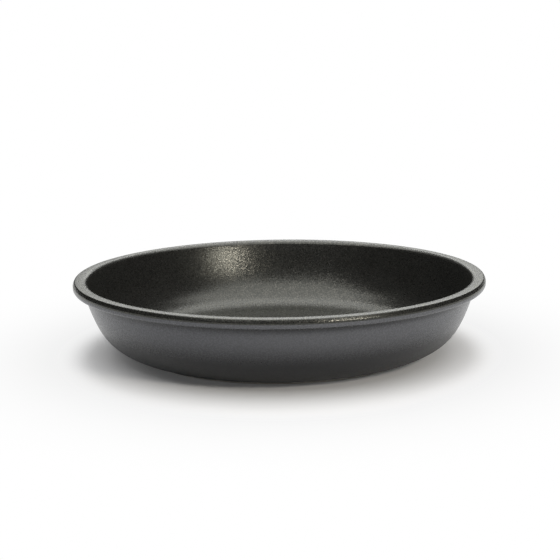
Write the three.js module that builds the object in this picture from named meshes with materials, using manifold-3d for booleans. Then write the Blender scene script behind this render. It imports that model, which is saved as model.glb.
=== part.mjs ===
// Tarte tatin pan: a handle-less round pan for the hob and the oven, cast in one piece from aluminium,
// with a non-stick film inside and outside and a perforated steel disc pressed into its underside.
// Millimetres, +Z up. The origin is the centre of the ring that the pan stands on.

import * as THREE from 'three';
import { mergeVertices } from 'three/addons/utils/BufferGeometryUtils.js';
import Module from 'manifold-3d';

// Overall form
const RIM_DIAMETER = 280;
const PAN_HEIGHT = 52;
const COATING_THICKNESS = 0.08;
const COATING_CLEARANCE = 0.005;

// Rim: a flat land that rounds over into the bowl, and a thick outer edge, which has a round top corner, a
// leaning side, an upright band at the widest line and a round below
const RIM_THICKNESS = 6.3;
const RIM_LAND = 6.2;
const INNER_ROUND = 3.6;
const EDGE_CORNER_ROUND = 1.9;
const EDGE_SIDE_INSET = 1.15;
const EDGE_SIDE_LEAN = THREE.MathUtils.degToRad(29);
const EDGE_DROP = 3.2;
const EDGE_BAND = 0.7;
const NECK_FILLET = 3;

// Wall: it leaves the foot at a shallow slope, sweeps up and ends nearly upright below the rim
const WALL_THICKNESS = 4;
const WALL_TOP_SLOPE = THREE.MathUtils.degToRad(71.5);
const HEEL_SLOPE = THREE.MathUtils.degToRad(13);
const HEEL_PULL = 0.942;
const SHOULDER_PULL = 0.715;

// Floor and foot
const FLOOR_THICKNESS = 6.4;
const FLOOR_BLEND_HEIGHT = 1.6;
const FOOT_INSET = 46;
const FOOT_HEIGHT = 1.2;
const FOOT_RING_WIDTH = 16;

// Induction disc and the aluminium studs that fill its holes
const DISC_THICKNESS = 1;
const DISC_INSET = 0.2;
const DISC_CLEARANCE = 0.3;
const HOLE_DIAMETER = 8;
const HOLE_RING_PITCH = 19;
const HOLES_IN_FIRST_RING = 6;
const HOLE_EDGE_MARGIN = 10;
const STUD_ROOT = 1;

// Fineness of the facets
const TURN_STEPS = 48;
const WALL_STEPS = 8;
const ARC_STEPS = 3;
const EDGE_STEPS = 2;
const HOLE_SIDES = 10;

const wasm = await Module();
wasm.setup();

const point = (r, z) => new THREE.Vector2(r, z);

// Sizes of the bare casting: the film stands proud of the rim's edge and top
const coatingFace = COATING_CLEARANCE + COATING_THICKNESS;
const rimRadius = RIM_DIAMETER / 2 - coatingFace;
const rimTop = PAN_HEIGHT - coatingFace;
const rimUnderside = rimTop - RIM_THICKNESS;
const footRadius = rimRadius - FOOT_INSET;
const recessRadius = footRadius - FOOT_RING_WIDTH;
const recessTop = DISC_INSET + DISC_THICKNESS;
const discRadius = recessRadius - DISC_CLEARANCE;
const widestPoint = point(rimRadius, rimTop - EDGE_DROP);

function arcPoints(centre, radius, fromAngle, toAngle, steps) {
  const points = [];
  for (let i = 0; i <= steps; i += 1) {
    const angle = fromAngle + ((toAngle - fromAngle) * i) / steps;
    points.push(point(centre.x + radius * Math.cos(angle), centre.y + radius * Math.sin(angle)));
  }
  return points;
}

// The rim's inner edge, from the top of the wall up to the flat land
const innerCentre = point(rimRadius - RIM_LAND, rimTop - INNER_ROUND);
const innerStart = Math.PI / 2 + WALL_TOP_SLOPE;
const innerEdge = arcPoints(innerCentre, INNER_ROUND, innerStart, Math.PI / 2, ARC_STEPS);

// Where a line through a at one slope meets a line through b at another
function meet(a, slopeA, b, slopeB) {
  const riseA = Math.tan(slopeA);
  const riseB = Math.tan(slopeB);
  const r = (b.y - a.y + riseA * a.x - riseB * b.x) / (riseA - riseB);
  return point(r, a.y + riseA * (r - a.x));
}

// Outside of the wall, from the foot's top corner up to the neck below the rim
function outsideWall() {
  const heel = point(footRadius, FOOT_HEIGHT);
  const neckHeight = rimUnderside - NECK_FILLET;
  const insideRadius = innerEdge[0].x - (innerEdge[0].y - neckHeight) / Math.tan(WALL_TOP_SLOPE);
  const neck = point(insideRadius + WALL_THICKNESS / Math.sin(WALL_TOP_SLOPE), neckHeight);
  const corner = meet(heel, HEEL_SLOPE, neck, WALL_TOP_SLOPE);
  const heelHandle = heel.clone().lerp(corner, HEEL_PULL);
  const neckHandle = neck.clone().lerp(corner, SHOULDER_PULL);
  return new THREE.CubicBezierCurve(heel, heelHandle, neckHandle, neck);
}

// Inside of the wall: the outside moved in by the wall's thickness
function insidePoint(curve, t) {
  const along = curve.getTangent(t);
  return curve.getPoint(t).add(point(-along.y, along.x).multiplyScalar(WALL_THICKNESS));
}

// Parameter at which the inside of the wall is a given height above the base
function insideParameter(curve, height) {
  let low = 0;
  let high = 1;
  for (let i = 0; i < 40; i += 1) {
    const middle = (low + high) / 2;
    if (insidePoint(curve, middle).y < height) {
      low = middle;
    } else {
      high = middle;
    }
  }
  return high;
}

// From the middle of the floor, over the blend and up the inside to the rim's widest line
function insideOutline(curve) {
  const start = insideParameter(curve, FLOOR_THICKNESS + FLOOR_BLEND_HEIGHT);
  const blendTop = insidePoint(curve, start);
  const along = insidePoint(curve, start + 0.001).sub(blendTop);
  const blendCorner = meet(point(0, FLOOR_THICKNESS), 0, blendTop, along.angle());
  const reach = blendCorner.distanceTo(blendTop);
  const blendFoot = point(blendCorner.x - reach, FLOOR_THICKNESS);
  const blend = new THREE.QuadraticBezierCurve(blendFoot, blendCorner, blendTop).getPoints(ARC_STEPS);
  const wall = [];
  for (let i = 1; i <= WALL_STEPS; i += 1) {
    wall.push(insidePoint(curve, start + ((1 - start) * i) / WALL_STEPS));
  }
  return [point(0, FLOOR_THICKNESS), ...blend, ...wall, ...innerEdge, ...rimEdge()];
}

// The rim's upper edge: the tight corner, then the leaning side that turns upright at the widest line
function rimEdge() {
  const sideStart = rimRadius - EDGE_SIDE_INSET;
  const cornerInset = EDGE_CORNER_ROUND * Math.cos(EDGE_SIDE_LEAN);
  const centre = point(sideStart - cornerInset, rimTop - EDGE_CORNER_ROUND);
  const corner = arcPoints(centre, EDGE_CORNER_ROUND, Math.PI / 2, EDGE_SIDE_LEAN, EDGE_STEPS);
  const sideTop = corner.pop();
  const bend = point(rimRadius, sideTop.y - EDGE_SIDE_INSET / Math.tan(EDGE_SIDE_LEAN));
  const side = new THREE.QuadraticBezierCurve(sideTop, bend, widestPoint).getPoints(EDGE_STEPS);
  return [...corner, ...side];
}

// From the rim's widest line, under the rim and down the outside to the foot
function outsideOutline(curve) {
  const lowRound = RIM_THICKNESS - EDGE_DROP - EDGE_BAND;
  const edgeCentre = point(rimRadius - lowRound, rimUnderside + lowRound);
  const edge = [widestPoint, ...arcPoints(edgeCentre, lowRound, 0, -Math.PI / 2, ARC_STEPS)];
  const neck = curve.getPoint(1);
  const corner = meet(point(0, rimUnderside), 0, neck, WALL_TOP_SLOPE);
  const filletStart = point(corner.x + corner.distanceTo(neck), rimUnderside);
  const fillet = new THREE.QuadraticBezierCurve(filletStart, corner, neck).getPoints(ARC_STEPS);
  const wall = curve.getPoints(WALL_STEPS).reverse().slice(1);
  return [...edge, ...fillet, ...wall, point(footRadius, 0)];
}

// The same outline moved out by a distance, square to its two neighbouring stretches at every corner
function movedOut(outline, distance) {
  return outline.map((here, i) => {
    const before = outline[Math.max(i - 1, 0)];
    const after = outline[Math.min(i + 1, outline.length - 1)];
    const sides = [here.clone().sub(before), after.clone().sub(here)].filter((side) => side.length() > 0);
    const normals = sides.map((side) => point(-side.y, side.x).normalize());
    const middle = normals[0].clone().add(normals[normals.length - 1]).normalize();
    return here.clone().addScaledVector(middle, distance / middle.dot(normals[0]));
  });
}

// A solid of revolution about +Z from a profile of radius and height
function turned(profile) {
  return new THREE.LatheGeometry(profile, TURN_STEPS).rotateX(Math.PI / 2);
}

function solidFrom(geometry) {
  const bare = new THREE.BufferGeometry();
  bare.setAttribute('position', geometry.getAttribute('position').clone());
  bare.setIndex(geometry.getIndex());
  const merged = mergeVertices(bare, 1e-4);
  const corners = merged.getIndex().array;
  const triangles = [];
  for (let i = 0; i < corners.length; i += 3) {
    const [a, b, c] = corners.slice(i, i + 3);
    if (a !== b && b !== c && c !== a) {
      triangles.push(a, b, c);
    }
  }
  const vertProperties = new Float32Array(merged.getAttribute('position').array);
  const triVerts = new Uint32Array(triangles);
  return new wasm.Manifold(new wasm.Mesh({ numProp: 3, vertProperties, triVerts }));
}

function geometryFrom(solid) {
  const mesh = solid.getMesh();
  const geometry = new THREE.BufferGeometry();
  geometry.setAttribute('position', new THREE.BufferAttribute(new Float32Array(mesh.vertProperties), 3));
  geometry.setIndex(new THREE.BufferAttribute(new Uint32Array(mesh.triVerts), 1));
  geometry.computeVertexNormals();
  return geometry;
}

function named(name, geometry, material) {
  const mesh = new THREE.Mesh(geometry, new THREE.MeshStandardMaterial(material));
  mesh.name = name;
  return mesh;
}

// Centres of the disc's holes: one in the middle and rings around it, each with more holes than the last
function holeCentres() {
  const centres = [point(0, 0)];
  const rings = Math.floor((discRadius - HOLE_EDGE_MARGIN) / HOLE_RING_PITCH);
  for (let ring = 1; ring <= rings; ring += 1) {
    const count = ring * HOLES_IN_FIRST_RING;
    for (let i = 0; i < count; i += 1) {
      const angle = (2 * Math.PI * i) / count;
      const radius = ring * HOLE_RING_PITCH;
      centres.push(point(radius * Math.cos(angle), radius * Math.sin(angle)));
    }
  }
  return centres;
}

function ringPoints(centre, radius, steps) {
  return arcPoints(centre, radius, 0, 2 * Math.PI, steps).slice(0, -1);
}

// The casting: the turned bowl with a recess in its base, and a stud for every hole of the disc
function panBody(outline) {
  const base = [point(recessRadius, 0), point(recessRadius, recessTop), point(0, recessTop)];
  const profile = [...outline, ...base].reverse();
  const studRadius = HOLE_DIAMETER / 2 - DISC_CLEARANCE;
  const studHeight = DISC_THICKNESS + STUD_ROOT;
  let solid = solidFrom(turned(profile));
  for (const centre of holeCentres()) {
    const stud = new THREE.CylinderGeometry(studRadius, studRadius, studHeight, HOLE_SIDES);
    stud.rotateX(Math.PI / 2).translate(centre.x, centre.y, DISC_INSET + studHeight / 2);
    solid = solid.add(solidFrom(stud));
  }
  return geometryFrom(solid);
}

// A film over one stretch of the casting's outline, between two points of it, which both faces follow
function film(outline, from, to) {
  const back = movedOut(outline, COATING_CLEARANCE).slice(from, to);
  const face = movedOut(outline, coatingFace).slice(from, to);
  return turned([...back, ...face.reverse(), back[0]]);
}

function inductionDisc() {
  const outline = new THREE.Shape(ringPoints(point(0, 0), discRadius, TURN_STEPS));
  for (const centre of holeCentres()) {
    outline.holes.push(new THREE.Path(ringPoints(centre, HOLE_DIAMETER / 2, HOLE_SIDES)));
  }
  const settings = { depth: DISC_THICKNESS, bevelEnabled: false };
  return new THREE.ExtrudeGeometry(outline, settings).translate(0, 0, DISC_INSET);
}

const wallCurve = outsideWall();
const inside = insideOutline(wallCurve);
const outside = outsideOutline(wallCurve);
const outline = [...inside, ...outside.slice(1)];
const widest = inside.length - 1;
const interiorCoating = film(outline, 0, widest + 1);
const exteriorCoating = film(outline, widest, outline.length);

const pan = new THREE.Group();
pan.name = 'tarte_tatin_pan';
pan.add(
  named('pan_body', panBody(outline), { color: '#b4b6b8', roughness: 0.4, metalness: 1 }),
  named('interior_coating', interiorCoating, { color: '#3b3b39', roughness: 0.5, metalness: 0.2 }),
  named('exterior_coating', exteriorCoating, { color: '#46484c', roughness: 0.55, metalness: 0.2 }),
  named('induction_disc', inductionDisc(), { color: '#9d9c98', roughness: 0.35, metalness: 1 }),
);

export default pan;
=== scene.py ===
"""Looks of a tarte tatin pan: smooth turned pieces, grainy non-stick films, turned metal underneath."""

import math

import bmesh
import bpy
from mathutils import Matrix, Vector


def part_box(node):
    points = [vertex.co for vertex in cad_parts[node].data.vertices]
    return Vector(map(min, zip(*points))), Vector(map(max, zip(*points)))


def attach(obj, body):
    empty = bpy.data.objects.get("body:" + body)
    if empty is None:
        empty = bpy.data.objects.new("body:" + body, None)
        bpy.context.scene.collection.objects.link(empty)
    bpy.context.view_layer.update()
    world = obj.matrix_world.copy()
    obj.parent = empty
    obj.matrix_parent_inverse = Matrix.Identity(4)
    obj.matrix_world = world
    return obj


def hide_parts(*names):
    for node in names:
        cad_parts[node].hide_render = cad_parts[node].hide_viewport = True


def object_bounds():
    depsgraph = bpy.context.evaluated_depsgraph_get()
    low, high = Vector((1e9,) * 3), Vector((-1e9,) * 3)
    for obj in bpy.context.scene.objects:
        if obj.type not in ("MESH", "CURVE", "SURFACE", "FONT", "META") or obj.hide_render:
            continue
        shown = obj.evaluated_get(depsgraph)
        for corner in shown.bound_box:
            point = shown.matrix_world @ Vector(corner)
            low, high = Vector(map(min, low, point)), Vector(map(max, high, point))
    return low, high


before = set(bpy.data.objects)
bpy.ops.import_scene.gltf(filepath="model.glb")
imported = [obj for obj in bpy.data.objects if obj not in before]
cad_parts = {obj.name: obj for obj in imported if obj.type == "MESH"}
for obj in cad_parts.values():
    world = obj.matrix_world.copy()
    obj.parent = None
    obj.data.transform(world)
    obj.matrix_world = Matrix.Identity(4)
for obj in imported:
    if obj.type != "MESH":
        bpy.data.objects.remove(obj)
cad_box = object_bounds()

# Sizes in millimetres. The overall ones come from the frame. The others follow the casting's own values,
# but the rim's flat and outer corner are up to half a millimetre fuller, nearer to the photograph.
MM = 0.001
RIM_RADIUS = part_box("pan_body")[1].x / MM
RIM_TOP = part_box("pan_body")[1].z / MM
DISC_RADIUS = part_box("induction_disc")[1].x / MM
DISC_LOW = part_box("induction_disc")[0].z / MM
DISC_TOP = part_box("induction_disc")[1].z / MM
FILM_GAP = 0.005
FILM_THICKNESS = 0.08
RIM_THICKNESS = 6.3
RIM_LAND = 6.6
INNER_ROUND = 3.2
EDGE_DROP = 3.2
EDGE_BAND = 0.7
EDGE_CORNER_ROUND = 1.0
EDGE_SIDE_INSET = 0.8
EDGE_SIDE_LEAN = math.radians(28)
EDGE_TURN = 0.5
NECK_FILLET = 3.0
WALL_THICKNESS = 4.0
WALL_TOP_SLOPE = math.radians(71.5)
HEEL_SLOPE = math.radians(13)
HEEL_PULL = 0.942
SHOULDER_PULL = 0.715
FLOOR_THICKNESS = 6.4
FLOOR_BLEND_HEIGHT = 1.6
FOOT_INSET = 46
FOOT_HEIGHT = 1.2
DISC_CLEARANCE = 0.3
HOLE_RADIUS = 4
HOLE_RING_PITCH = 19
HOLES_IN_FIRST_RING = 6
HOLE_RINGS = 3
HEEL_REACH = 0.4
EDGE_CHAMFER = 0.15

# Fineness of the meshes
TURN_STEPS = 240
WALL_STEPS = 44
ARC_STEPS = 10
CORNER_STEPS = 4
HOLE_STEPS = 32
HALVINGS = 40
SMALL_STEP = 0.001
TOUCHING = 1e-9
SHARP_ANGLE = math.radians(35)

# Camera, from the fit to the photograph's outline
CAMERA_DISTANCE = 1.0
CAMERA_ELEVATION = math.radians(11.145)
CAMERA_ROLL = math.radians(0.721)
PICTURE_PIXELS = 560
FOCAL_PIXELS = 1462.6
SENSOR_WIDTH = 36
SHIFT_RIGHT_PIXELS = 0.87
SHIFT_DOWN_PIXELS = 5.97
CLIP_START = 0.01
CLIP_END = 50


def bezier(points, t):
    """Point at t on a curve of any degree, by repeated mixing of its control points."""
    layer = [Vector(p) for p in points]
    while len(layer) > 1:
        layer = [a.lerp(b, t) for a, b in zip(layer, layer[1:])]
    return layer[0]


def curve(points, steps):
    return [bezier(points, i / steps) for i in range(steps + 1)]


def arc(centre, radius, start, end, steps):
    angles = [start + (end - start) * i / steps for i in range(steps + 1)]
    return [centre + radius * Vector((math.cos(a), math.sin(a))) for a in angles]


def meet(a, slope_a, b, slope_b):
    """Where a line through a at one slope meets a line through b at another."""
    rise_a = math.tan(slope_a)
    rise_b = math.tan(slope_b)
    r = (b.y - a.y + rise_a * a.x - rise_b * b.x) / (rise_a - rise_b)
    return Vector((r, a.y + rise_a * (r - a.x)))


def eased(before, corner, after, reach):
    """A corner worn round over a short reach on both of its sides."""
    start = corner + (before - corner).normalized() * reach
    end = corner + (after - corner).normalized() * reach
    return curve([start, corner, end], CORNER_STEPS)


RIM_UNDERSIDE = RIM_TOP - RIM_THICKNESS
FOOT_RADIUS = RIM_RADIUS - FOOT_INSET
RECESS_RADIUS = DISC_RADIUS + DISC_CLEARANCE
INNER_CENTRE = Vector((RIM_RADIUS - RIM_LAND, RIM_TOP - INNER_ROUND))
INNER_EDGE = arc(INNER_CENTRE, INNER_ROUND, math.pi / 2 + WALL_TOP_SLOPE, math.pi / 2, ARC_STEPS)


def wall_controls():
    """Control points of the wall's outside, from the foot's top corner up to the neck below the rim."""
    heel = Vector((FOOT_RADIUS, FOOT_HEIGHT))
    neck_height = RIM_UNDERSIDE - NECK_FILLET
    inside_radius = INNER_EDGE[0].x - (INNER_EDGE[0].y - neck_height) / math.tan(WALL_TOP_SLOPE)
    neck = Vector((inside_radius + WALL_THICKNESS / math.sin(WALL_TOP_SLOPE), neck_height))
    corner = meet(heel, HEEL_SLOPE, neck, WALL_TOP_SLOPE)
    return [heel, heel.lerp(corner, HEEL_PULL), neck.lerp(corner, SHOULDER_PULL), neck]


def inside_point(controls, t):
    """Point of the wall's inside: the outside moved in by the wall's thickness."""
    steps = [b - a for a, b in zip(controls, controls[1:])]
    along = bezier(steps, t).normalized()
    return bezier(controls, t) + WALL_THICKNESS * Vector((-along.y, along.x))


def inside_parameter(controls, height):
    """Where along the wall its inside reaches a height, by halving."""
    low = 0.0
    high = 1.0
    for _ in range(HALVINGS):
        middle = (low + high) / 2
        if inside_point(controls, middle).y < height:
            low = middle
        else:
            high = middle
    return high


def inside_outline(controls):
    """From the middle of the floor, up the inside of the wall and over the rim to its widest line."""
    start = inside_parameter(controls, FLOOR_THICKNESS + FLOOR_BLEND_HEIGHT)
    blend_top = inside_point(controls, start)
    along = inside_point(controls, start + SMALL_STEP) - blend_top
    blend_corner = meet(Vector((0, FLOOR_THICKNESS)), 0, blend_top, math.atan2(along.y, along.x))
    reach = (blend_corner - blend_top).length
    blend_foot = blend_corner - Vector((reach, 0))
    blend = curve([blend_foot, blend_corner, blend_top], ARC_STEPS)
    share = [i / WALL_STEPS for i in range(1, WALL_STEPS + 1)]
    wall = [inside_point(controls, start + (1 - start) * s) for s in share]
    return [Vector((0, FLOOR_THICKNESS))] + blend + wall + INNER_EDGE + rim_edge()


def rim_edge():
    """The rim's upper edge: a tight corner and a leaning side that turns upright above the widest line."""
    corner_width = EDGE_CORNER_ROUND * math.cos(EDGE_SIDE_LEAN)
    centre = Vector((RIM_RADIUS - EDGE_SIDE_INSET - corner_width, RIM_TOP - EDGE_CORNER_ROUND))
    corner = arc(centre, EDGE_CORNER_ROUND, math.pi / 2, EDGE_SIDE_LEAN, ARC_STEPS)
    drop = EDGE_SIDE_INSET / math.tan(EDGE_SIDE_LEAN)
    bend = Vector((RIM_RADIUS, corner[-1].y - drop))
    widest = Vector((RIM_RADIUS, RIM_TOP - EDGE_DROP))
    before = bend + (corner[-1] - bend).normalized() * EDGE_TURN
    after = bend + (widest - bend).normalized() * EDGE_TURN
    return corner + curve([before, bend, after], ARC_STEPS) + [widest]


def outside_outline(controls):
    """From the rim's widest line, under the rim and down the outside of the wall to the foot."""
    low_round = RIM_THICKNESS - EDGE_DROP - EDGE_BAND
    widest = Vector((RIM_RADIUS, RIM_TOP - EDGE_DROP))
    edge_centre = Vector((RIM_RADIUS - low_round, RIM_UNDERSIDE + low_round))
    edge = [widest] + arc(edge_centre, low_round, 0, -math.pi / 2, ARC_STEPS)
    neck = controls[-1]
    corner = meet(Vector((0, RIM_UNDERSIDE)), 0, neck, WALL_TOP_SLOPE)
    fillet_start = corner + Vector(((corner - neck).length, 0))
    fillet = curve([fillet_start, corner, neck], ARC_STEPS)
    wall = curve(controls, WALL_STEPS)[::-1]
    foot = Vector((FOOT_RADIUS, 0))
    heel = eased(wall[-2], wall[-1], foot, HEEL_REACH)
    return edge + fillet + wall[1:-1] + heel + [foot]


def moved_out(outline, distance):
    """The same outline moved out by a distance, square to the stretches on both sides of each point."""
    moved = []
    for i, here in enumerate(outline):
        before = outline[max(i - 1, 0)]
        after = outline[min(i + 1, len(outline) - 1)]
        sides = [side for side in (here - before, after - here) if side.length > TOUCHING]
        normals = [Vector((-side.y, side.x)).normalized() for side in sides]
        middle = (normals[0] + normals[-1]).normalized()
        moved.append(here + middle * (distance / middle.dot(normals[0])))
    return moved


def ring(mesh, radius, height, steps, centre=(0, 0)):
    """A ring of vertices in the frame, in metres, or one vertex where it lies on the axis."""
    if radius == 0:
        return [mesh.verts.new((centre[0] * MM, centre[1] * MM, height * MM))]
    angles = [2 * math.pi * i / steps for i in range(steps)]
    places = [(centre[0] + radius * math.cos(a), centre[1] + radius * math.sin(a)) for a in angles]
    return [mesh.verts.new((x * MM, y * MM, height * MM)) for x, y in places]


def bridge(mesh, lower, upper):
    """Faces between two rings, one of which may be a single vertex."""
    count = max(len(lower), len(upper))
    for i in range(count):
        corners = [lower[i % len(lower)], lower[(i + 1) % len(lower)]]
        corners += [upper[(i + 1) % len(upper)], upper[i % len(upper)]]
        mesh.faces.new(dict.fromkeys(corners))


def turned(mesh, profile, steps=TURN_STEPS, closed=False):
    """Revolves a profile of radius and height about the vertical axis and gives its rings back."""
    rings = [ring(mesh, p.x, p.y, steps) for p in profile]
    following = rings[1:] + (rings[:1] if closed else [])
    for one, other in zip(rings, following):
        bridge(mesh, one, other)
    return rings


def filled(mesh, rings):
    """A flat face bounded by the first ring, with a hole for each of the others."""
    edges = []
    for loop in rings:
        for a, b in zip(loop, loop[1:] + loop[:1]):
            edges.append(mesh.edges.get((a, b)) or mesh.edges.new((a, b)))
    bmesh.ops.triangle_fill(mesh, edges=edges, use_beauty=True)


def piece(name, mesh, material, node):
    """Turns a mesh into a piece that stands for a node of the frame and carries its slot."""
    bmesh.ops.recalc_face_normals(mesh, faces=mesh.faces)
    data = bpy.data.meshes.new(name)
    mesh.to_mesh(data)
    mesh.free()
    data.shade_smooth()
    data.set_sharp_from_angle(angle=SHARP_ANGLE)
    data.materials.append(material)
    made = bpy.data.objects.new(name, data)
    bpy.context.scene.collection.objects.link(made)
    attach(made, "root")
    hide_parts(node)


def hole_centres():
    """One hole in the middle and rings of holes about it."""
    centres = [(0, 0)]
    for number in range(1, HOLE_RINGS + 1):
        count = number * HOLES_IN_FIRST_RING
        radius = number * HOLE_RING_PITCH
        angles = [2 * math.pi * i / count for i in range(count)]
        centres += [(radius * math.cos(a), radius * math.sin(a)) for a in angles]
    return centres


class Nodes:
    """A short way to build one node tree."""

    def __init__(self, tree):
        self.tree = tree
        self.tree.nodes.clear()

    def add(self, kind, settings=None, **inputs):
        node = self.tree.nodes.new("ShaderNode" + kind)
        for name, value in (settings or {}).items():
            setattr(node, name, value)
        for name, value in inputs.items():
            socket = self.socket(node, name)
            if isinstance(value, bpy.types.NodeSocket):
                self.tree.links.new(value, socket)
            else:
                socket.default_value = value
        return node

    def socket(self, node, name):
        wanted = name.replace("_", " ").lower()
        found = [s for s in node.inputs if s.name.lower() == wanted and s.enabled]
        if not found:
            found = [node.inputs[int(name[1:])]]
        return found[0]

    def math(self, operation, *values, clamp=False):
        inputs = {f"i{number}": value for number, value in enumerate(values)}
        return self.add("Math", {"operation": operation, "use_clamp": clamp}, **inputs).outputs[0]

    def spread(self, value, low, high, to_low=0.0, to_high=1.0, smooth=True):
        kind = {"interpolation_type": "SMOOTHSTEP" if smooth else "LINEAR"}
        ends = {"from_min": low, "from_max": high, "to_min": to_low, "to_max": to_high}
        return self.add("MapRange", kind, value=value, **ends).outputs[0]

    def mixed(self, factor, one, other):
        kind = {"data_type": "RGBA"}
        return self.add("Mix", kind, i0=factor, i6=one, i7=other).outputs[2]

    def output(self, kind, shader):
        self.add("Output" + kind, None, surface=shader)


def new_material(name):
    material = bpy.data.materials.new(name)
    material.use_nodes = True
    return material, Nodes(material.node_tree)


# Looks of the films, with heights in millimetres
NOISE_RANGE = (0.3, 0.7)
BLOTCH_SCALE = 60.0
FINE_SCALE = 850.0
FLAKE_SCALE = 1900.0
FLAKE_CHANCE = (0.5, 0.95)
DULLNESS_CHANGE = 0.04
FILM_IOR = 1.5
FLAT_HEIGHTS = (RIM_TOP - 0.9, RIM_TOP - 0.2)
GRAIN_ON_FLAT = 0.15
# Painted light on the outside film: a paler tone up the wall, painted shade under the rim, a painted
# highlight on the lip
PAINTED_LIGHT_RISE = (18, 37)
PAINTED_SHADE_UNDER_RIM = (39, RIM_UNDERSIDE - 1)
PAINTED_HIGHLIGHT_ON_LIP = (RIM_UNDERSIDE, RIM_UNDERSIDE + 0.8)
PAINTED_HIGHLIGHT_STRENGTH = 1.05
PAINTED_LIGHT_GRAINS = (0.66, 0.96)
# Painted light at the foot: a lighter grey where the contact shadow falls
FOOT_PAINTED_LIGHT_HEIGHTS = (0.75 * FOOT_HEIGHT, 1.5 * FOOT_HEIGHT)
FOOT_PAINTED_LIGHT = (0.82, 0.8, 0.76, 1)
DULL_HEIGHTS = (0.0, 26)
DULL_FOOT = 0.3


def by_height(nodes, height, heights, low, high):
    """A value that changes from low to high between two heights in millimetres."""
    return nodes.spread(height, heights[0] * MM, heights[1] * MM, low, high)


def painted_light_share(nodes, height, chance):
    """Share of paler painted light on the outside: up the wall, painted shade under the rim, painted
    highlight on the lip.
    """
    painted_light_up_wall = by_height(nodes, height, PAINTED_LIGHT_RISE, 0.0, 1.0)
    painted_shade_below_rim = by_height(nodes, height, PAINTED_SHADE_UNDER_RIM, 1.0, 0.0)
    painted_highlight_lip = by_height(nodes, height, PAINTED_HIGHLIGHT_ON_LIP, 0.0, PAINTED_HIGHLIGHT_STRENGTH)
    wall = nodes.math("MULTIPLY", painted_light_up_wall, painted_shade_below_rim)
    grains = nodes.spread(chance, 0.0, 1.0, *PAINTED_LIGHT_GRAINS, smooth=False)
    return nodes.math("MULTIPLY", nodes.math("ADD", wall, painted_highlight_lip), grains, clamp=True)


def glittering(nodes, cells, amount):
    """The skin's normal, with each mica flake at its own slight angle."""
    lean = nodes.add("VectorMath", {"operation": "SUBTRACT"}, i0=cells.outputs["Color"], i1=(0.5, 0.5, 0.5))
    lean = nodes.add("VectorMath", {"operation": "SCALE"}, i0=lean.outputs[0], scale=amount)
    normal = nodes.add("NewGeometry").outputs["Normal"]
    tilted = nodes.add("VectorMath", {"operation": "ADD"}, i0=normal, i1=lean.outputs[0])
    return nodes.add("VectorMath", {"operation": "NORMALIZE"}, i0=tilted.outputs[0]).outputs[0]


def coating(name, dark, light, flake, mica, roughness, grain, tilt, tint, painted_light_colour=None):
    """Satin non-stick film: a charcoal ground with fine mica flakes and a slightly rough skin.

    The grain fades on the rim's flat, where the film lies even. A film given a painted light colour gets
    painted light up its wall and on the rim's lip, painted shade under the rim and a lighter painted grey
    at the foot against its contact shadow, and it is duller at the foot.
    """
    material, nodes = new_material(name)
    place = nodes.add("TexCoord").outputs["Object"]
    height = nodes.add("SeparateXYZ", None, vector=place).outputs[2]
    blotch = nodes.add("TexNoise", vector=place, scale=BLOTCH_SCALE, detail=3.0).outputs[0]
    fine = nodes.add("TexNoise", vector=place, scale=FINE_SCALE, detail=2.0, roughness=0.6).outputs[0]
    cells = nodes.add("TexVoronoi", {"feature": "F1"}, vector=place, scale=FLAKE_SCALE)
    chance = nodes.add("SeparateColor", None, color=cells.outputs["Color"]).outputs[0]
    flakes = nodes.spread(chance, *FLAKE_CHANCE)
    wide_shade = nodes.spread(blotch, *NOISE_RANGE, 0.0, 0.5)
    fine_shade = nodes.spread(fine, *NOISE_RANGE, 0.0, 0.5)
    ground = nodes.mixed(nodes.math("ADD", wide_shade, fine_shade), dark, light)
    colour = nodes.mixed(flakes, ground, flake)
    dullness = nodes.spread(fine, *NOISE_RANGE, roughness - DULLNESS_CHANGE, roughness + DULLNESS_CHANGE)
    if painted_light_colour:
        painted_light_at_foot = by_height(nodes, height, FOOT_PAINTED_LIGHT_HEIGHTS, 1.0, 0.0)
        dulled = by_height(nodes, height, DULL_HEIGHTS, DULL_FOOT, 0.0)
        # Painted light up the outside wall and on the lip, painted shade under the rim
        colour = nodes.mixed(painted_light_share(nodes, height, chance), colour, painted_light_colour)
        # Painted light: a lighter grey at the foot, against its contact shadow
        colour = nodes.mixed(painted_light_at_foot, colour, FOOT_PAINTED_LIGHT)
        dullness = nodes.math("ADD", dullness, dulled)
    amount = by_height(nodes, height, FLAT_HEIGHTS, 1.0, GRAIN_ON_FLAT)
    glitter = glittering(nodes, cells, nodes.math("MULTIPLY", amount, tilt))
    skin = nodes.add("Bump", None, strength=amount, distance=grain, height=fine, normal=glitter).outputs[0]
    metal = nodes.math("MULTIPLY", flakes, mica)
    surface = nodes.add(
        "BsdfPrincipled", None, base_color=colour, metallic=metal, roughness=dullness, normal=skin,
        ior=FILM_IOR, specular_tint=tint,
    )
    nodes.output("Material", surface.outputs[0])
    return material


# Looks of the bare metals
CLOUD_SCALE = 90.0
MARKS_SHARE = 0.6
DARKEST_METAL = 0.8
GROOVE_STRENGTH = 0.5
METAL_DULLNESS_CHANGE = 0.08


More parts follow.
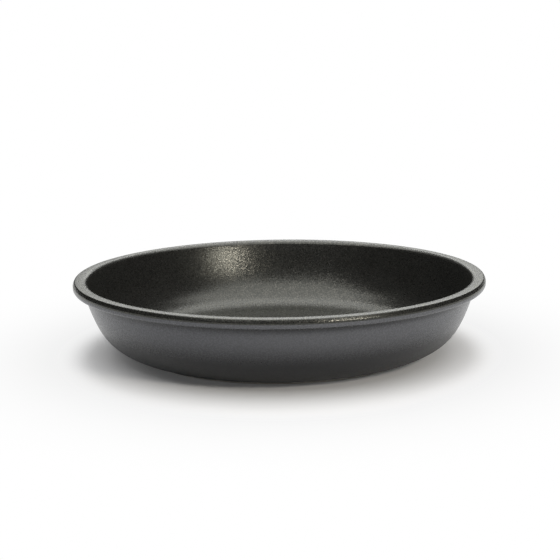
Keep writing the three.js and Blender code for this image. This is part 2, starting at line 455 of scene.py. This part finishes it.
def turned_metal(name, colour, groove_scale, groove_depth, roughness):
    """Bare metal with fine circular tool marks about the pan's axis."""
    material, nodes = new_material(name)
    place = nodes.add("TexCoord").outputs["Object"]
    apart = nodes.add("SeparateXYZ", None, vector=place)
    flat = nodes.add("CombineXYZ", None, x=apart.outputs[0], y=apart.outputs[1]).outputs[0]
    radius = nodes.add("VectorMath", {"operation": "LENGTH"}, i0=flat).outputs["Value"]
    along = nodes.add("CombineXYZ", None, x=radius).outputs[0]
    marks = nodes.add("TexNoise", vector=along, scale=groove_scale, detail=4.0, roughness=0.7).outputs[0]
    cloud = nodes.add("TexNoise", vector=place, scale=CLOUD_SCALE, detail=3.0).outputs[0]
    marks_shade = nodes.spread(marks, *NOISE_RANGE, 0.0, MARKS_SHARE)
    cloud_shade = nodes.spread(cloud, *NOISE_RANGE, 0.0, 1 - MARKS_SHARE)
    tone = nodes.math("ADD", marks_shade, cloud_shade)
    dark = [c * DARKEST_METAL for c in colour[:3]] + [1]
    bump = nodes.add("Bump", None, strength=GROOVE_STRENGTH, distance=groove_depth, height=marks).outputs[0]
    dull = roughness + METAL_DULLNESS_CHANGE
    bright = roughness - METAL_DULLNESS_CHANGE
    surface = nodes.add(
        "BsdfPrincipled", None, base_color=nodes.mixed(tone, dark, colour), metallic=1.0, normal=bump,
        roughness=nodes.spread(marks, *NOISE_RANGE, dull, bright),
    )
    nodes.output("Material", surface.outputs[0])
    return material


INSIDE_FILM = coating(
    "inside_film",
    dark=(0.0105, 0.0105, 0.0098, 1),
    light=(0.018, 0.018, 0.0168, 1),
    flake=(0.085, 0.083, 0.074, 1),
    mica=1.0,
    roughness=0.275,
    grain=0.00006,
    tilt=0.1,
    tint=(0.98, 1.0, 0.91, 1),
)
OUTSIDE_FILM = coating(
    "outside_film",
    dark=(0.004, 0.0042, 0.0045, 1),
    light=(0.009, 0.0093, 0.010, 1),
    flake=(0.03, 0.031, 0.034, 1),
    mica=0.6,
    roughness=0.27,
    grain=0.00004,
    tilt=0.06,
    tint=(1, 1, 1, 1),
    # The paler tone of the painted light on the outside
    painted_light_colour=(0.093, 0.096, 0.105, 1),
)
ALUMINIUM = turned_metal(
    "turned_aluminium", (0.70, 0.71, 0.72, 1), groove_scale=4000.0, groove_depth=0.00008, roughness=0.34)
STEEL = turned_metal(
    "brushed_steel", (0.52, 0.52, 0.51, 1), groove_scale=5200.0, groove_depth=0.00006, roughness=0.36)


def make_films(outline, widest):
    """The two films, which meet at the rim's widest line."""
    back = moved_out(outline, FILM_GAP)
    face = moved_out(outline, FILM_GAP + FILM_THICKNESS)
    inside = bmesh.new()
    turned(inside, back[:widest + 1] + face[widest::-1])
    piece("inside_film", inside, INSIDE_FILM, "interior_coating")
    outside = bmesh.new()
    turned(outside, back[widest:] + face[:widest - 1:-1], closed=True)
    piece("outside_film", outside, OUTSIDE_FILM, "exterior_coating")


def make_casting(outline):
    """The bowl and its foot ring, with the recess for the disc and a stud in each of its holes."""
    mesh = bmesh.new()
    recess = [
        Vector((RECESS_RADIUS + EDGE_CHAMFER, 0)),
        Vector((RECESS_RADIUS, EDGE_CHAMFER)),
        Vector((RECESS_RADIUS, DISC_TOP)),
    ]
    loops = [turned(mesh, outline + recess)[-1]]
    stud = HOLE_RADIUS - DISC_CLEARANCE
    for centre in hole_centres():
        foot = ring(mesh, stud, DISC_TOP, HOLE_STEPS, centre)
        shoulder = ring(mesh, stud, DISC_LOW + EDGE_CHAMFER, HOLE_STEPS, centre)
        end = ring(mesh, stud - EDGE_CHAMFER, DISC_LOW, HOLE_STEPS, centre)
        bridge(mesh, foot, shoulder)
        bridge(mesh, shoulder, end)
        mesh.faces.new(end)
        loops.append(foot)
    filled(mesh, loops)
    piece("casting", mesh, ALUMINIUM, "pan_body")


def make_disc():
    """The perforated disc, with the edges of its rim and holes broken below."""
    mesh = bmesh.new()
    heights = [DISC_LOW, DISC_LOW + EDGE_CHAMFER, DISC_TOP]
    low = []
    high = []
    rims = [((0, 0), DISC_RADIUS, -EDGE_CHAMFER, TURN_STEPS)]
    rims += [(centre, HOLE_RADIUS, EDGE_CHAMFER, HOLE_STEPS) for centre in hole_centres()]
    for centre, radius, lower_change, steps in rims:
        radii = [radius + lower_change, radius, radius]
        rings = [ring(mesh, r, z, steps, centre) for r, z in zip(radii, heights)]
        bridge(mesh, rings[0], rings[1])
        bridge(mesh, rings[1], rings[2])
        low.append(rings[0])
        high.append(rings[2])
    filled(mesh, low)
    filled(mesh, high)
    piece("induction_disc_plate", mesh, STEEL, "induction_disc")


# The floor. A fade holds the two distances in metres that it runs between and its values there. The near
# fade is painted light that lightens the pan's shadow close to the pan, the far fade takes the floor to
# plain white, and the dim fade is a faint painted shadow around the pan.
FLOOR_RADIUS = 9.0
FLOOR_SIDES = 96
FLOOR_WHITE = 0.88
# Stretched sideways, so the painted light lightens the shadow more at the pan's sides
FADE_STRETCH = (1.15, 1.0, 1.0)
SHADOW_LIGHTENING_FADE = (0.105, 0.15, 0.06, 0.26)
FAR_FADE = (0.145, 0.175, 0.0, 0.74)
PAINTED_SHADOW_FADE = (0.155, 0.30, 1.0, 0.0)
PAINTED_SHADOW_POWER = 3.0
PAINTED_SHADOW_DEPTH = 0.11


def make_floor():
    """A pale round floor that keeps the pan's shadow, lightened near the pan with painted light and ringed
    with a faint painted shadow, and fades to plain white away from it.
    """
    material, nodes = new_material("floor")
    place = nodes.add("TexCoord").outputs["Object"]
    wider = nodes.add("VectorMath", {"operation": "MULTIPLY"}, i0=place, i1=FADE_STRETCH).outputs[0]
    away = nodes.add("VectorMath", {"operation": "LENGTH"}, i0=wider).outputs["Value"]
    path = nodes.add("LightPath")
    seen = nodes.math("MAXIMUM", path.outputs["Is Camera Ray"], path.outputs["Is Glossy Ray"])
    seen = nodes.math("MAXIMUM", seen, path.outputs["Is Transmission Ray"])
    # Painted light in the pan's shadow close to the pan
    painted_light_in_shadow = nodes.spread(away, *SHADOW_LIGHTENING_FADE)
    far = nodes.spread(away, *FAR_FADE)
    glow = nodes.math("MULTIPLY", seen, nodes.math("ADD", painted_light_in_shadow, far))
    paper = nodes.add("BsdfDiffuse", None, color=(FLOOR_WHITE, FLOOR_WHITE, FLOOR_WHITE, 1)).outputs[0]
    distance = nodes.add("VectorMath", {"operation": "LENGTH"}, i0=place).outputs["Value"]
    # Painted shadow: the white dimmed a little out to 0.3 m
    painted_shadow = nodes.math("POWER", nodes.spread(distance, *PAINTED_SHADOW_FADE, smooth=False), PAINTED_SHADOW_POWER)
    level = nodes.math("SUBTRACT", 1.0, nodes.math("MULTIPLY", painted_shadow, PAINTED_SHADOW_DEPTH))
    white = nodes.add("Emission", None, color=(1, 1, 1, 1), strength=level).outputs[0]
    nodes.output("Material", nodes.add("MixShader", None, i0=glow, i1=paper, i2=white).outputs[0])
    mesh = bmesh.new()
    bmesh.ops.create_circle(mesh, cap_ends=True, segments=FLOOR_SIDES, radius=FLOOR_RADIUS)
    data = bpy.data.meshes.new("floor")
    mesh.to_mesh(data)
    mesh.free()
    data.materials.append(material)
    floor = bpy.data.objects.new("floor", data)
    bpy.context.scene.collection.objects.link(floor)


# The studio's pale panel, in parts of the direction looked in: sideways, away from the camera and up
PANEL_MIDDLE = 0.03
PANEL_SIDES = (0.12, 0.30)
PANEL_BEHIND = (0.2, 0.6)
PANEL_BOTTOM = (0.185, 0.225)
PANEL_TOP = (0.30, 0.42)
DARK_TONE = 0.03
PANEL_TONE = 2.95


def make_world():
    """A dark studio with a pale panel behind the pan, and plain white where the camera sees it."""
    world = bpy.data.worlds.new("studio")
    world.use_nodes = True
    bpy.context.scene.world = world
    nodes = Nodes(world.node_tree)
    towards = nodes.add("TexCoord").outputs["Generated"]
    apart = nodes.add("SeparateXYZ", None, vector=towards)
    sideways = nodes.math("ABSOLUTE", nodes.math("SUBTRACT", apart.outputs[0], PANEL_MIDDLE))
    across = nodes.spread(sideways, *PANEL_SIDES, 1.0, 0.0)
    behind = nodes.spread(apart.outputs[1], *PANEL_BEHIND)
    over_bottom = nodes.spread(apart.outputs[2], *PANEL_BOTTOM)
    under_top = nodes.spread(apart.outputs[2], *PANEL_TOP, 1.0, 0.0)
    width = nodes.math("MULTIPLY", across, behind)
    rise = nodes.math("MULTIPLY", over_bottom, under_top)
    panel = nodes.math("MULTIPLY", width, rise)
    tone = nodes.spread(panel, 0.0, 1.0, DARK_TONE, PANEL_TONE, smooth=False)
    seen = nodes.add("LightPath").outputs["Is Camera Ray"]
    tone = nodes.math("ADD", nodes.math("MULTIPLY", tone, nodes.math("SUBTRACT", 1.0, seen)), seen)
    grey = nodes.add("CombineColor", None, red=tone, green=tone, blue=tone).outputs[0]
    nodes.output("World", nodes.add("Background", None, color=grey, strength=1.0).outputs[0])


def area_light(name, place, target, width, depth, power, colour):
    data = bpy.data.lights.new(name, "AREA")
    data.shape = "RECTANGLE"
    data.size = width
    data.size_y = depth
    data.energy = power
    data.color = colour
    lamp = bpy.data.objects.new(name, data)
    lamp.location = place
    lamp.rotation_euler = (Vector(target) - Vector(place)).to_track_quat("-Z", "Y").to_euler()
    bpy.context.scene.collection.objects.link(lamp)


WHITE = (1.0, 1.0, 1.0)
WARM_WHITE = (1.0, 0.95, 0.86)
KEY_AZIMUTH = math.radians(37.4)
KEY_ELEVATION = math.radians(26.5)
KEY_DISTANCE = 0.914
KEY_TARGET = (0, 0, 0.03)


def below(place):
    """The place on the floor straight under a lamp."""
    return (place[0], place[1], 0)


def make_lights():
    """Two soft lamps above, over the pan and behind it, and a small warm key lamp at the front right."""
    over = (0, -0.24, 1.0)
    behind = (0, 0.75, 1.0)
    area_light("overhead", over, below(over), width=1.4, depth=1.22, power=14.0, colour=WHITE)
    area_light("behind", behind, below(behind), width=0.7, depth=0.8, power=6.9, colour=WHITE)
    level = KEY_DISTANCE * math.cos(KEY_ELEVATION)
    rise = KEY_DISTANCE * math.sin(KEY_ELEVATION)
    key = (level * math.sin(KEY_AZIMUTH), -level * math.cos(KEY_AZIMUTH), rise)
    area_light("key", key, KEY_TARGET, width=0.2, depth=0.14, power=2.85, colour=WARM_WHITE)


def make_camera():
    """The camera at the photograph's viewing angle, aimed at the middle of the rim."""
    data = bpy.data.cameras.new("camera")
    data.sensor_fit = "HORIZONTAL"
    data.sensor_width = SENSOR_WIDTH
    data.lens = FOCAL_PIXELS / PICTURE_PIXELS * SENSOR_WIDTH
    data.shift_x = SHIFT_RIGHT_PIXELS / PICTURE_PIXELS
    data.shift_y = -SHIFT_DOWN_PIXELS / PICTURE_PIXELS
    data.clip_start = CLIP_START
    data.clip_end = CLIP_END
    camera = bpy.data.objects.new("camera", data)
    back = Vector((0, -math.cos(CAMERA_ELEVATION), math.sin(CAMERA_ELEVATION)))
    aim = Vector((0, 0, cad_box[1][2]))
    turn = (-back).to_track_quat("-Z", "Y").to_matrix() @ Matrix.Rotation(-CAMERA_ROLL, 3, "Z")
    camera.matrix_world = Matrix.Translation(aim + back * CAMERA_DISTANCE) @ turn.to_4x4()
    bpy.context.scene.collection.objects.link(camera)
    bpy.context.scene.camera = camera


WALL = wall_controls()
INSIDE = inside_outline(WALL)
OUTLINE = INSIDE + outside_outline(WALL)[1:]
make_films(OUTLINE, len(INSIDE) - 1)
make_casting(OUTLINE)
make_disc()
make_floor()
make_world()
make_lights()
make_camera()
bpy.context.scene.view_settings.view_transform = "Standard"
